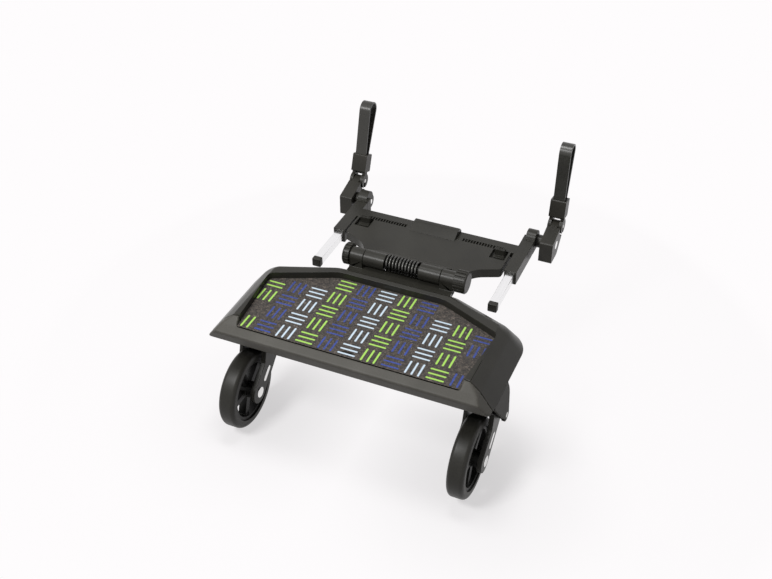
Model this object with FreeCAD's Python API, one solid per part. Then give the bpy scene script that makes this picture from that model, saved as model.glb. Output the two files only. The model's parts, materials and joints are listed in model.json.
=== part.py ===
import FreeCAD, Part
import math
import os

# Buggy board: a small ride-on platform on two wheels that is strapped behind a pram.
# X is to the right seen from behind the board, Y is towards the pram, Z is up.
# The wheels stand on Z = 0. Both wheel units are of one hand, and the left strap leans further. Millimetres.

# Wheels and forks
wheel_r = 58.0
wheel_w = 25.0
wheel_inset = 33.5
axle_y = -189.845
axle_z = wheel_r
tyre_t = 12.0
tyre_shoulder_r = 6.0
rim_t = 5.0
rim_w = 20.0
hub_r = 12.0
spoke_n = 5
spoke_w = 10.0
spoke_t = 12.0
spoke_deg = 18.0
axle_r = 4.0
leg_gap = 4.0
leg_t = 7.0
far_gap = 1.8
far_t = 5.0
leg_foot_r = 17.0
leg_top_r = 14.0
pivot_clear = 1.857
leg_deg = 40.786
pivot_r = 4.0
lug_boss_r = 7.5
bridge_gap = 4.0
bridge_t = 4.0
bridge_from = 46.0
bridge_to = 66.0
cap_r = 8.0
cap_t = 2.0
inlay_len = 24.0
inlay_w = 7.0
inlay_t = 1.2
inlay_along = 29.0
inlay_off = 2.0
inset = 0.8
run_fit = 0.06
side_gap = 0.3

# Platform
deck_over_wheel = 77.0
mat_t = 3.0
mat_gap = 0.3
floor_t = 4.0
rim_up = 10.0
front_fwd = 36.0
foot_half = 204.0
foot_corner_back = 131.3
foot_bend_half = 93.1
foot_back = 174.2
foot_corner_r = 44.5
foot_bend_r = 60.0
front_corner_r = 15.0
shoulder_in = 20.0
shoulder_drop = 11.0
shoulder_r = 30.0
ridge_in = 35.0
ridge_r = 6.0
nose_tuck = 6.0
nose_low = 26.0
nose_crease = 8.5
ridge_run = 11.0
nose_edge_r = 3.0
nose_top_r = 5.0
nose_run_r = 8.0
mat_front_side = 44.0
mat_corner_side = 33.0
mat_back_half = 79.0
mat_front_fwd = 23.0
mat_corner_back = 90.0
mat_back_back = 131.0
mat_corner_r = 10.0
mat_front_r = 1.5
mat_bend_r = 40.0
slot_len = 15.0
slot_w = 4.5
slot_in = 9.0
slot_r = 1.5
wing_back = 11.0
wing_side = 17.0
wing_lap = 1.0
wall = 5.0
rib_t = 3.0
cell_nx = 8
cell_ny = 3

# Hinge
hinge_back = 176.0
hinge_over_mat = 12.0
barrel_r = 12.0
pin_r = 4.0
spring_half = 26.5
knuckle_end = 58.8
collar_gap = 0.5
collar_len = 20.5
knob_gap = 0.5
knob_len = 18.0
knob_len_left = 10.0
knob_r = 16.3
knob_rib_h = 1.6
knob_rib_n = 16
knob_flange_t = 2.4
knob_wall = 3.0
core_r = 6.4
wire_r = 1.6
coil_r = 10.5
coil_turns = 10
coil_probe = 10
tongue_half = 79.5
tongue_t = 9.0
tongue_gap = 0.6
tongue_short = 2.0

# Chassis
chassis_half = 124.0
chassis_drop = 4.0
chassis_t = 12.0
shoulder_back = 247.0
waist_half = 84.0
waist_back = 229.0
neck_half = 75.0
neck_back = 198.0
shoulder_corner_r = 6.0
waist_corner_r = 40.0
neck_corner_r = 8.0
channel_back = 293.0
channel_w = 24.0
lip_t = 2.7
lip_h = 6.0
channel_floor = 2.2
slide_gap = 0.3
neck_ramp = 220.0
neck_lean_deg = 60.0
bay_gap = 1.9
base_t = 2.5
shell_t = 3.0
base_screw_r = 1.5
base_screw_head_r = 3.0
base_screw_head_h = 1.8
base_screw_len = 12.0
boss_wall = 3.0
cover_half = 36.0
cover_front = 287.0
cover_rise = 7.5
cover_ramp = 17.0
cover_crown = 8.0
cover_edge_r = 4.0
rail_w = 9.0
rail_h = 3.0
rail_lean = 1.5

# Extension arms
sleeve_gap = 3.6
sleeve_front = 250.0
sleeve_len = 84.0
sleeve_wall = 2.9
sleeve_h = 22.0
sleeve_drop = 1.5
bar_t = 8.0
bar_start = 4.0
tooth_pitch = 4.4
tooth_cut = 2.8
tooth_depth = 3.5
tooth_n = 15
rack_gap = 2.0
comb_len = 7.8
comb_deep = 3.2
lock_side = 15.0
lock_w = 16.0
lock_len = 12.0
lock_h = 5.0
lock_plate_h = 2.0
tab_len = 7.5
tab_up = 6.0
lock_travel = 3.2
lock_bed = 0.3
lock_clear = 0.4
pawl_w = 2.0
pawl_h = 4.0
recess_side = 3.5
recess_front = 8.5
ridge_n = 4
ridge_h = 1.0

# Rods and heads
rod_w = 12.6
rod_wall = 1.6
rod_fit = 0.2
rod_start = 174.0
rod_in_head = 11.0
endcap_w = 13.6
endcap_front = 170.0
endcap_len = 9.0
endcap_r = 1.5
plug_len = 12.0
head_gap = 0.4
head_len = 33.0
head_r = 11.5
head_side = 5.8
thumb_r = 13.5
thumb_fwd = 5.0
thumb_up = 6.5
boss_r = 10.0
bolt_r = 4.0
bolt_head_r = 6.5
bolt_head_h = 2.0
bolt_seat = 2.4
bolt_proud = 0.6

# Connectors
conn_side = 28.5
conn_w = 20.5
conn_front = 22.0
conn_back = 28.0
conn_low = 21.0
conn_high = 12.0
conn_corner_r = 4.0
conn_edge_r = 3.0
strap_pin_r = 3.0
strap_pin_back = 29.0
strap_pin_up = 16.5
tip_r = 8.0
tip_w = 11.0

# Buckles and straps
lean_deg = 9.0
lean_left_deg = 20.0
prong_r = 11.5
prong_t = 5.5
hook_gap = 0.4
hook_mouth = 5.0
shank_half = 4.0
web_room = 10.4
buckle_from = 14.5
buckle_len = 28.5
buckle_w = 24.5
buckle_fwd = 8.5
buckle_rear = 12.0
buckle_r = 2.0
strap_w = 18.0
strap_t = 2.8
strap_leg = 5.0
strap_seat = 18.0
strap_gap = 0.3
loop_r = 11.0
loop_up = 118.5
loop_up_left = 114.0
mouth_r = 12.0
strap_tooth_n = 20
strap_tooth_pitch = 3.0
strap_tooth_h = 0.9
strap_tooth_side = 2.5
strap_tooth_from = 6.0

# Brackets
bracket_t = 5.0
lug_r = 9.5
plate_fwd = 9.0
plate_back = 44.0
plate_bulge = 55.0
plate_bulge_r = 55.0
plate_bulge_up = 46.0
plate_low = 5.0
arch_y = 8.0
arch_up = 40.0
arch_r = 24.0
buffer_r = 8.0
buffer_y = 27.0
swing_deg = 6.0
swing_probe = 100
buffer_gap = 1.2
screw_r = 2.2
screw_head_r = 4.2
screw_head_h = 2.6
screw_in = 14.0
screw_y = 10.0
screw_side = 13.0

V = FreeCAD.Vector
X_DIR = V(1, 0, 0)
Z_DIR = V(0, 0, 1)
ORIGIN = V(0, 0, 0)
TINY = 1e-6

# Widths and heights that follow from the platform, the wheels and the chassis
wheel_x = foot_half - wheel_inset
mat_front_half = foot_half - mat_front_side
mat_corner_half = foot_half - mat_corner_side
sleeve_half = rod_w / 2 + rod_fit + sleeve_wall
sleeve_x = chassis_half + sleeve_gap + sleeve_half
lock_x = chassis_half - lock_side
conn_x = sleeve_x + conn_side
pivot_reach = wheel_r + pivot_clear + lug_boss_r
pivot_back = pivot_reach * math.cos(math.radians(leg_deg))
pivot_up = pivot_reach * math.sin(math.radians(leg_deg))
mat_z = 2 * wheel_r + deck_over_wheel
hinge_z = mat_z + hinge_over_mat
chassis_top = mat_z - chassis_drop
cover_top = chassis_top + cover_rise
sleeve_top = chassis_top - sleeve_drop
prong_in = tip_w / 2 + hook_gap
prong_out = prong_in + prong_t

# Stations along Y, from the wheel axle
front_y = axle_y - front_fwd
mat_front_y = axle_y - mat_front_fwd
mat_back_y = axle_y + mat_back_back
hinge_y = axle_y + hinge_back
pivot_y = axle_y + pivot_back
pivot_z = axle_z + pivot_up
channel_y = axle_y + channel_back
sleeve_y = axle_y + sleeve_front
sleeve_end = sleeve_y + sleeve_len
head_y = sleeve_end + head_gap
conn_y = head_y + head_len - head_r
rod_z = sleeve_top - sleeve_h / 2
strap_y = conn_y + strap_pin_back
strap_z = rod_z + strap_pin_up
rim_z = mat_z + rim_up
foot_z = mat_z - nose_low
tongue_top = hinge_z - barrel_r - tongue_gap
tongue_end_y = hinge_y - tongue_short
collar_start = knuckle_end + collar_gap
collar_end = collar_start + collar_len
chassis_low = chassis_top - chassis_t
leg_in = wheel_x + wheel_w / 2 + leg_gap
leg_out = leg_in + leg_t
far_in = wheel_x - wheel_w / 2 - far_gap
far_out = far_in - far_t
bracket_from = far_out - side_gap - bracket_t
bracket_to = foot_half
seat_z = foot_z - plate_low
boss_end = conn_x - conn_w / 2 - side_gap
channel_end = channel_y + channel_w + lip_t
lock_floor = chassis_top - lock_h - ridge_h - lock_bed


def on_xy(z):
    return lambda p: V(p[0], p[1], z)


def on_yz(x):
    return lambda p: V(x, p[0], p[1])


def unit(a, b):
    length = math.hypot(b[0] - a[0], b[1] - a[1])
    return ((b[0] - a[0]) / length, (b[1] - a[1]) / length)


def round_wire(points, radii, place):
    # Closed wire through the points, with each corner rounded by its radius.
    corners = []
    for i, p in enumerate(points):
        r = radii[i]
        if r == 0:
            corners.append((p, p, p))
            continue
        a = unit(p, points[i - 1])
        b = unit(p, points[(i + 1) % len(points)])
        half = math.acos(a[0] * b[0] + a[1] * b[1]) / 2
        run = r / math.tan(half)
        mid_dir = unit((0, 0), (a[0] + b[0], a[1] + b[1]))
        out = r / math.sin(half) - r
        start = (p[0] + a[0] * run, p[1] + a[1] * run)
        mid = (p[0] + mid_dir[0] * out, p[1] + mid_dir[1] * out)
        end = (p[0] + b[0] * run, p[1] + b[1] * run)
        corners.append((start, mid, end))
    edges = []
    for i, (start, mid, end) in enumerate(corners):
        if start != end:
            edges.append(Part.Arc(place(start), place(mid), place(end)).toShape())
        after = corners[(i + 1) % len(corners)][0]
        if (place(after) - place(end)).Length > TINY:
            edges.append(Part.LineSegment(place(end), place(after)).toShape())
    return Part.Wire(edges)


def prism_x(points, x0, x1, radii=None):
    wire = round_wire(points, radii or [0] * len(points), on_yz(x0))
    return Part.Face(wire).extrude(V(x1 - x0, 0, 0))


def prism_z(points, z0, z1, radii=None):
    wire = round_wire(points, radii or [0] * len(points), on_xy(z0))
    return Part.Face(wire).extrude(V(0, 0, z1 - z0))


def box(x0, x1, y0, y1, z0, z1):
    return Part.makeBox(x1 - x0, y1 - y0, z1 - z0, V(x0, y0, z0))


def rod_x(x0, x1, y, z, r):
    return Part.makeCylinder(r, x1 - x0, V(x0, y, z), X_DIR)


def rod_up(x, y, z0, z1, r):
    return Part.makeCylinder(r, z1 - z0, V(x, y, z0), Z_DIR)


def fuse(shapes):
    return shapes[0].multiFuse(shapes[1:]).removeSplitter()


def mirrored(shape):
    return shape.mirror(ORIGIN, X_DIR)


def save(shape, name):
    shape.exportStep("parts/" + name + ".step")


def save_pair(shape, name):
    save(shape, name + "_right")
    save(mirrored(shape), name + "_left")


def save_twice(shape, name):
    # The same part on both wheels, turned the same way.
    save(shape, name + "_right")
    save(shape.translated(V(-2 * wheel_x, 0, 0)), name + "_left")


def save_left_leaning(shape, name):
    # The left one of the pair leans further back on its pin.
    left = mirrored(shape)
    left.rotate(V(0, strap_y, strap_z), X_DIR, lean_deg - lean_left_deg)
    save(left, name + "_left")


# Wheels

def make_tyre():
    tyre = rod_x(wheel_x - wheel_w / 2, wheel_x + wheel_w / 2, axle_y, axle_z, wheel_r)
    outer = []
    for edge in tyre.Edges:
        if isinstance(edge.Curve, Part.Circle):
            outer.append(edge)
    tyre = tyre.makeFillet(tyre_shoulder_r, outer)
    bore = rod_x(wheel_x - wheel_w, wheel_x + wheel_w, axle_y, axle_z, wheel_r - tyre_t)
    return tyre.cut(bore)


def make_rim():
    ring_r = wheel_r - tyre_t
    hub_from = far_in + side_gap
    hub_to = leg_in - side_gap
    ring = rod_x(wheel_x - rim_w / 2, wheel_x + rim_w / 2, axle_y, axle_z, ring_r)
    ring = ring.cut(rod_x(wheel_x - rim_w, wheel_x + rim_w, axle_y, axle_z, ring_r - rim_t))
    hub = rod_x(hub_from, hub_to, axle_y, axle_z, hub_r)
    spokes = []
    for i in range(spoke_n):
        spoke = box(wheel_x - spoke_t / 2, wheel_x + spoke_t / 2, axle_y - spoke_w / 2,
                    axle_y + spoke_w / 2, axle_z, axle_z + ring_r - rim_t / 2)
        spoke.rotate(V(wheel_x, axle_y, axle_z), X_DIR, spoke_deg + 360.0 * i / spoke_n)
        spokes.append(spoke)
    rim = fuse([ring, hub] + spokes)
    return rim.cut(rod_x(hub_from, hub_to, axle_y, axle_z, axle_r + run_fit))


# Forks

def leg_point(along, off):
    # A point on the leg, measured along it from the axle and square to it.
    a = math.radians(leg_deg)
    y = axle_y + along * math.cos(a) + off * math.sin(a)
    z = axle_z + along * math.sin(a) - off * math.cos(a)
    return (y, z)


def make_leg(x0, x1):
    span = pivot_reach
    drop = math.asin((leg_foot_r - leg_top_r) / span)
    points = []
    for side in (1, -1):
        foot = (leg_foot_r * math.sin(drop), side * leg_foot_r * math.cos(drop))
        top = (span + leg_top_r * math.sin(drop), side * leg_top_r * math.cos(drop))
        row = [leg_point(*foot), leg_point(*top)]
        points += row if side == 1 else row[::-1]
    web = prism_x(points, x0, x1)
    foot = rod_x(x0, x1, axle_y, axle_z, leg_foot_r)
    top = rod_x(x0, x1, pivot_y, pivot_z, leg_top_r)
    return fuse([web, foot, top])


def make_bridge():
    # Curved plate over the tyre that joins the two legs.
    inner = wheel_r + bridge_gap
    outer = inner + bridge_t
    start = math.radians(bridge_from)
    end = math.radians(bridge_to)
    middle = (start + end) / 2
    place = on_yz(far_in)

    def at(r, a):
        return place((axle_y + r * math.cos(a), axle_z + r * math.sin(a)))

    edges = [Part.Arc(at(inner, start), at(inner, middle), at(inner, end)).toShape(),
             Part.LineSegment(at(inner, end), at(outer, end)).toShape(),
             Part.Arc(at(outer, end), at(outer, middle), at(outer, start)).toShape(),
             Part.LineSegment(at(outer, start), at(inner, start)).toShape()]
    return Part.Face(Part.Wire(edges)).extrude(V(leg_in - far_in, 0, 0))


def make_cheek(x0, x1):
    # Web that carries the bridge from the leg.
    reach = wheel_r + bridge_gap + bridge_t
    end = math.radians(bridge_to)
    tip = (axle_y + reach * math.cos(end), axle_z + reach * math.sin(end))
    return prism_x([leg_point(leg_foot_r, 0), (pivot_y, pivot_z), tip], x0, x1)


def make_inlay(x0, x1):
    half = inlay_len / 2 - inlay_w / 2
    ends = []
    for along in (inlay_along - half, inlay_along + half):
        y, z = leg_point(along, inlay_off)
        ends.append(rod_x(x0, x1, y, z, inlay_w / 2))
    side = inlay_w / 2
    points = [leg_point(inlay_along - half, inlay_off - side),
              leg_point(inlay_along + half, inlay_off - side),
              leg_point(inlay_along + half, inlay_off + side),
              leg_point(inlay_along - half, inlay_off + side)]
    return fuse([prism_x(points, x0, x1)] + ends)


def leg_faces():
    # The two outer faces of the fork, each with its direction out of the fork.
    return [(far_out, -1), (leg_out, 1)]


def make_fork():
    pieces = [make_bridge()]
    for x0, x1 in ((far_out, far_in), (leg_in, leg_out)):
        pieces.append(make_leg(x0, x1))
        pieces.append(make_cheek(x0, x1))
    lug_from = bracket_from + bracket_t + side_gap
    lug_to = bracket_to - bracket_t - side_gap
    pieces.append(rod_x(lug_from, lug_to, pivot_y, pivot_z, lug_boss_r))
    fork = fuse(pieces)
    fork = fork.cut(rod_x(lug_from, lug_to, pivot_y, pivot_z, pivot_r + run_fit))
    fork = fork.cut(rod_x(far_out, leg_out, axle_y, axle_z, axle_r))
    for face, side in leg_faces():
        cut = sorted((face, face - side * inset))
        fork = fork.cut(rod_x(cut[0], cut[1], axle_y, axle_z, cap_r))
        fork = fork.cut(make_inlay(cut[0], cut[1]))
    return fork


def make_caps():
    caps = []
    for face, side in leg_faces():
        ends = sorted((face - side * inset, face - side * inset + side * cap_t))
        caps.append(rod_x(ends[0], ends[1], axle_y, axle_z, cap_r))
    return Part.makeCompound(caps)


def make_inlays():
    inlays = []
    for face, side in leg_faces():
        ends = sorted((face - side * inset, face - side * inset + side * inlay_t))
        inlays.append(make_inlay(ends[0], ends[1]))
    return Part.makeCompound(inlays)


def make_axle():
    return rod_x(far_out + inset, leg_out - inset, axle_y, axle_z, axle_r)


# Brackets

def make_cheek_plate(x0, x1):
    front = axle_y - plate_fwd
    rear = axle_y + plate_back
    lug_a = (pivot_y + lug_r, pivot_z)
    lug_b = (pivot_y - lug_r, pivot_z)
    points = [(front, seat_z), (front, foot_z), (rear, foot_z),
              (axle_y + plate_bulge, pivot_z + plate_bulge_up), lug_a, lug_b,
              (axle_y + arch_y, pivot_z + arch_up)]
    plate = prism_x(points, x0, x1, [0, 0, 0, plate_bulge_r, 0, 0, arch_r])
    return fuse([plate, rod_x(x0, x1, pivot_y, pivot_z, lug_r)])


def make_bracket():
    front = axle_y - plate_fwd
    rear = axle_y + plate_back
    pieces = [make_cheek_plate(bracket_from, bracket_from + bracket_t),
              make_cheek_plate(bracket_to - bracket_t, bracket_to),
              box(bracket_from, bracket_to, front, rear, seat_z, foot_z)]
    bracket = fuse(pieces)
    bracket = bracket.cut(rod_x(bracket_from, bracket_to, pivot_y, pivot_z, pivot_r))
    for x, y in screw_spots():
        bracket = bracket.cut(rod_up(x, y, seat_z, rim_z, screw_r))
    return bracket


def screw_spots():
    spots = []
    for side in (-1, 1):
        spots.append((wheel_x + side * screw_side, axle_y + screw_y))
    return spots


def make_bracket_screws():
    screws = []
    for x, y in screw_spots():
        head = rod_up(x, y, seat_z - screw_head_h, seat_z, screw_head_r)
        shank = rod_up(x, y, seat_z - screw_head_h, seat_z + screw_in, screw_r)
        screw = fuse([head, shank])
        screws += [screw, screw.translated(V(-2 * wheel_x, 0, 0))]
    return Part.makeCompound(screws)


def make_pivot_pin():
    return rod_x(bracket_from, bracket_to, pivot_y, pivot_z, pivot_r)


def bridge_top_raised():
    # Highest point that the bridge reaches under the buffer at full swing.
    reach = wheel_r + bridge_gap + bridge_t
    swing = math.radians(swing_deg)
    best = 0.0
    for share in range(swing_probe + 1):
        a = math.radians(bridge_from + (bridge_to - bridge_from) * share / swing_probe)
        dy = reach * math.cos(a) - pivot_back
        dz = reach * math.sin(a) - pivot_up
        best = max(best, pivot_z + dz * math.cos(swing) - dy * math.sin(swing))
    return best


def make_buffer():
    return rod_up(wheel_x, axle_y + buffer_y, bridge_top_raised() + buffer_gap, seat_z, buffer_r)


# Platform

def rim_points(inset):
    # Outline of the platform, moved in by the inset at the sides and the back.
    corner = (foot_half, axle_y + foot_corner_back)
    bend = (foot_bend_half, axle_y + foot_back)
    along = unit(corner, bend)
    base = (corner[0] - inset * along[1], corner[1] + inset * along[0])
    side = foot_half - inset
    back = bend[1] - inset
    corner_y = base[1] + along[1] * (side - base[0]) / along[0]
    bend_x = base[0] + along[0] * (back - base[1]) / along[1]
    right = [(side, front_y - wall), (side, corner_y), (bend_x, back)]
    return right + [(-x, y) for x, y in right[::-1]]


def rim_radii(inset):
    right = [0, foot_corner_r - inset, foot_bend_r - inset]
    return right + right[::-1]


def drafted(inset, drop):
    # The platform's sloping sides and back, from the foot over the shoulder to the ridge.
    levels = [(foot_z, 0), (rim_z - shoulder_drop, shoulder_in), (rim_z, ridge_in)]
    wires = []
    for z, level_in in levels:
        total = inset + level_in
        wires.append(round_wire(rim_points(total), rim_radii(total), on_xy(z - drop)))
    return Part.makeLoft(wires, True, True)


def level_edges(shape, z):
    # Edges at one height round the sides and the back.
    found = []
    for edge in shape.Edges:
        heights = [v.Point.z for v in edge.Vertexes]
        behind = max(v.Point.y for v in edge.Vertexes) > front_y
        if behind and max(abs(h - z) for h in heights) < TINY:
            found.append(edge)
    return found


def mat_points(gap):
    front = mat_front_y + gap
    corner = axle_y + mat_corner_back - gap
    back = mat_back_y - gap
    right = [(mat_front_half - gap, front), (mat_corner_half - gap, corner), (mat_back_half, back)]
    return right + [(-x, y) for x, y in right[::-1]]


def mat_radii():
    right = [mat_front_r, mat_corner_r, mat_bend_r]
    return right + right[::-1]


def make_shell():
    # The platform's outer form, before the mat's bed and the hollow are cut.
    shell = drafted(0, 0)
    shell = shell.makeFillet(shoulder_r, level_edges(shell, rim_z - shoulder_drop))
    shell = shell.makeFillet(ridge_r, level_edges(shell, rim_z))
    far = axle_y + foot_back
    plan = prism_z([(foot_half, front_y), (foot_half, far), (-foot_half, far), (-foot_half, front_y)],
                   foot_z, rim_z, [front_corner_r, 0, 0, front_corner_r])
    side = [(front_y + nose_tuck, foot_z), (front_y, mat_z - nose_crease), (mat_front_y, mat_z),
            (mat_front_y + ridge_run, rim_z), (far, rim_z), (far, foot_z)]
    profile = prism_x(side, -foot_half, foot_half, [0, nose_edge_r, nose_top_r, nose_run_r, 0, 0])
    return shell.common(plan).common(profile)


def nose_cutter():
    wing = axle_y - wing_back
    outer = axle_y - wing_side
    step = mat_front_half - wing_lap
    wide = foot_half + wall
    fore = front_y - wall
    right = [(wide, fore), (wide, outer), (step, wing), (step, mat_front_y)]
    return prism_z(right + [(-x, y) for x, y in right[::-1]], 0, rim_z + wall)


def make_collars():
    face = hinge_y - barrel_r
    low = tongue_top - tongue_t / 2
    web = [(face, low), (tongue_end_y, low), (hinge_y, hinge_z), (face, hinge_z)]
    barrel = rod_x(collar_start, collar_end, hinge_y, hinge_z, barrel_r)
    collar = fuse([barrel, prism_x(web, collar_start, collar_end)])
    return [collar, mirrored(collar)]


def make_tray():
    shell = make_shell().cut(nose_cutter())
    bed = prism_z(mat_points(0), mat_z - mat_t, rim_z + wall, mat_radii())
    tray = shell.cut(bed)
    tray = tray.cut(make_hollow())
    plate = box(-tongue_half, tongue_half, mat_back_y, tongue_end_y, tongue_top - tongue_t, tongue_top)
    tray = fuse([tray, plate] + make_collars())
    tray = tray.cut(rod_x(-collar_end, collar_end, hinge_y, hinge_z, pin_r + run_fit))
    for x, y in screw_spots():
        hole = rod_up(x, y, seat_z, seat_z + screw_in, screw_r)
        tray = tray.cut(hole).cut(hole.translated(V(-2 * wheel_x, 0, 0)))
    return tray


def make_hollow():
    # Cells under the standing surface, with ribs between them and pads over the brackets.
    top = mat_z - mat_t - floor_t
    start = mat_front_y + wall
    width = 2 * foot_half / cell_nx
    depth = (mat_back_y - start) / cell_ny
    cells = []
    for i in range(cell_nx):
        for j in range(cell_ny):
            x0 = -foot_half + i * width + rib_t / 2
            y0 = start + j * depth + rib_t / 2
            cells.append(box(x0, x0 + width - rib_t, y0, y0 + depth - rib_t, foot_z, top))
    hollow = drafted(wall, wall).common(Part.makeCompound(cells))
    pad = box(bracket_from - rib_t, bracket_to + rib_t, front_y, axle_y + plate_back + rib_t, foot_z, top)
    return hollow.cut(pad).cut(pad.translated(V(-2 * wheel_x, 0, 0)))


def make_nosing():
    nosing = make_shell().common(nose_cutter())
    bed = prism_z(mat_points(0), mat_z - mat_t, rim_z + wall, mat_radii())
    return nosing.cut(bed)


def make_mat():
    mat = prism_z(mat_points(mat_gap), mat_z - mat_t, mat_z, mat_radii())
    y = mat_front_y + slot_in
    slot = prism_z([(-slot_len / 2, y - slot_w / 2), (slot_len / 2, y - slot_w / 2),
                    (slot_len / 2, y + slot_w / 2), (-slot_len / 2, y + slot_w / 2)],
                   mat_z - mat_t, mat_z, [slot_r] * 4)
    return mat.cut(slot)


# Hinge

def make_hinge_pin():
    reach = collar_end + knob_gap - knob_wall
    return rod_x(-reach - knob_len_left, reach + knob_len, hinge_y, hinge_z, pin_r)


def make_core():
    core = rod_x(-spring_half, spring_half, hinge_y, hinge_z, core_r)
    return core.cut(rod_x(-spring_half, spring_half, hinge_y, hinge_z, pin_r))


def make_knob(length):
    start = collar_end + knob_gap
    end = start + length
    rib_end = end - knob_flange_t
    knob = rod_x(start, end, hinge_y, hinge_z, knob_r - knob_rib_h)
    flange = rod_x(rib_end, end, hinge_y, hinge_z, knob_r)
    ribs = [flange.makeChamfer(knob_rib_h, [flange.Edges[0]])]
    rib_w = math.pi * knob_r / knob_rib_n
    for i in range(knob_rib_n):
        rib = box(start, rib_end, hinge_y - rib_w / 2, hinge_y + rib_w / 2,
                  hinge_z, hinge_z + knob_r)
        rib.rotate(V(0, hinge_y, hinge_z), X_DIR, 360.0 * i / knob_rib_n)
        ribs.append(rib)
    knob = fuse([knob] + ribs)
    return knob.cut(rod_x(start, end - knob_wall, hinge_y, hinge_z, pin_r + run_fit))


def arc_between(start, tangent, end):
    # Arc from start, along its tangent there, to end.
    chord = end - start
    along = chord * (1.0 / chord.Length)
    side = tangent - along * tangent.dot(along)
    if side.Length < TINY:
        return Part.LineSegment(start, end).toShape()
    turn = math.acos(max(-1.0, min(1.0, tangent.dot(along))))
    side = side * (1.0 / side.Length)
    middle = start + chord * 0.5 + side * (chord.Length / 2 * math.tan(turn / 2))
    return Part.Arc(start, middle, end).toShape()


def biarc(p0, t0, p1, t1):
    v = p1 - p0
    t = t0 + t1
    a = 2 * (1 - t0.dot(t1))
    b = 2 * v.dot(t)
    c = -v.dot(v)
    d = -c / b if a < TINY else (-b + math.sqrt(b * b - 4 * a * c)) / (2 * a)
    joint = (p0 + p1 + (t0 - t1) * d) * 0.5
    first = arc_between(p0, t0, joint)
    second = arc_between(p1, t1 * -1.0, joint)
    return [first, second]


def coil_stations():
    # Points and directions along the spring, from one knuckle's face to the other's.
    start = -spring_half + wire_r + side_gap
    quarters = 4 * coil_turns
    climb = -2 * start / quarters
    lead = climb / (math.pi / 2)
    stations = []
    for i in range(quarters + 1):
        angle = math.pi / 2 * i
        up = math.sin(angle)
        back = math.cos(angle)
        heading = V(lead, -coil_r * up, coil_r * back)
        place = V(start + climb * i, hinge_y + coil_r * back, hinge_z + coil_r * up)
        stations.append((place, heading * (1.0 / heading.Length)))
    return stations


def make_spring():
    stations = coil_stations()
    edges = []
    for (p0, t0), (p1, t1) in zip(stations, stations[1:]):
        edges += biarc(p0, t0, p1, t1)
    path = Part.Wire(Part.__sortEdges__(edges))
    start, heading = stations[0]
    ring = Part.Wire(Part.makeCircle(wire_r, start, heading))
    shell = Part.BRepOffsetAPI.MakePipeShell(path)
    shell.add(ring)
    shell.build()
    shell.makeSolid()
    spring = shell.shape()
    expected = math.pi * wire_r * wire_r * path.Length
    print("spring volume", round(spring.Volume, 2), "expected", round(expected, 2))
    print("spring least gap", round(coil_gap(edges), 3))
    return spring


def coil_gap(edges):
    # Least gap of the spring's wire to itself, on points along its middle line.
    points = []
    travelled = []
    total = 0.0
    for edge in edges:
        for p in edge.discretize(coil_probe):
            if points:
                total += (p - points[-1]).Length
            points.append(p)
            travelled.append(total)
    least = coil_r
    apart = math.pi * coil_r
    for i, p in enumerate(points):
        for j in range(i + 1, len(points)):
            if travelled[j] - travelled[i] > apart:
                least = min(least, (p - points[j]).Length - 2 * wire_r)
    return least


# Chassis

def chassis_points():
    y = [channel_y, axle_y + shoulder_back, axle_y + waist_back, axle_y + neck_back]
    half = [chassis_half, chassis_half, waist_half, neck_half]
    right = list(zip(half, y))
    left = [(-x, v) for x, v in right[::-1]]
    return right + left


def chassis_radii():
    right = [0, shoulder_corner_r, waist_corner_r, neck_corner_r]
    return right + right[::-1]


def recess_box():
    half = lock_w / 2 + recess_side
    front = channel_y - lock_len - lock_travel - recess_front
    return box(lock_x - half, lock_x + half, front, channel_y, lock_floor, chassis_top)


def screw_posts():
    edge = 2 * base_screw_head_r
    return [(chassis_half - boss_wall - base_screw_head_r, axle_y + shoulder_back + edge),
            (waist_half - 2 * edge, axle_y + waist_back + edge),
            (boss_wall + base_screw_head_r, axle_y + cover_front - 2 * edge)]


def make_chassis():
    body = prism_z(chassis_points(), chassis_low, chassis_top, chassis_radii())
    floor = box(-chassis_half, chassis_half, channel_y, channel_end,
                chassis_low, chassis_low + channel_floor)
    lip = box(-chassis_half, chassis_half, channel_end - lip_t, channel_end,
              chassis_low, chassis_low + lip_h)
    rail_y = channel_y + channel_w / 2
    rail_z = chassis_low + channel_floor
    rail = prism_x([(rail_y - rail_w / 2, rail_z), (rail_y - rail_w / 2 - rail_lean, rail_z + rail_h),
                    (rail_y + rail_w / 2 + rail_lean, rail_z + rail_h), (rail_y + rail_w / 2, rail_z)],
                   -chassis_half, chassis_half)
    ramp = axle_y + neck_ramp
    lean = math.radians(neck_lean_deg)
    crest = (hinge_y + barrel_r * math.cos(lean), hinge_z + barrel_r * math.sin(lean))
    neck = [(ramp + 2 * chassis_t, chassis_low), (ramp + 2 * chassis_t, chassis_top), (ramp, chassis_top),
            crest, (hinge_y, hinge_z), (hinge_y, hinge_z - barrel_r), (axle_y + neck_back, chassis_low)]
    neck_shape = prism_x(neck, -knuckle_end, knuckle_end)
    barrel = rod_x(-knuckle_end, knuckle_end, hinge_y, hinge_z, barrel_r)
    body = fuse([body, floor, lip, rail, neck_shape, barrel])
    bay = rod_x(-spring_half, spring_half, hinge_y, hinge_z, barrel_r + bay_gap)
    body = body.cut(bay)
    body = body.cut(rod_x(-knuckle_end, knuckle_end, hinge_y, hinge_z, pin_r))
    body = body.cut(make_chassis_hollow())
    window = box(lock_x - lock_w / 2, lock_x + lock_w / 2, channel_y - shell_t, channel_y,
                 lock_floor, chassis_top)
    for cut in (recess_box(), window):
        body = body.cut(cut).cut(mirrored(cut))
    for x, y in screw_posts():
        hole = rod_up(x, y, chassis_low, chassis_low - base_t + base_screw_len, base_screw_r)
        body = body.cut(hole).cut(mirrored(hole))
    return body


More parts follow.
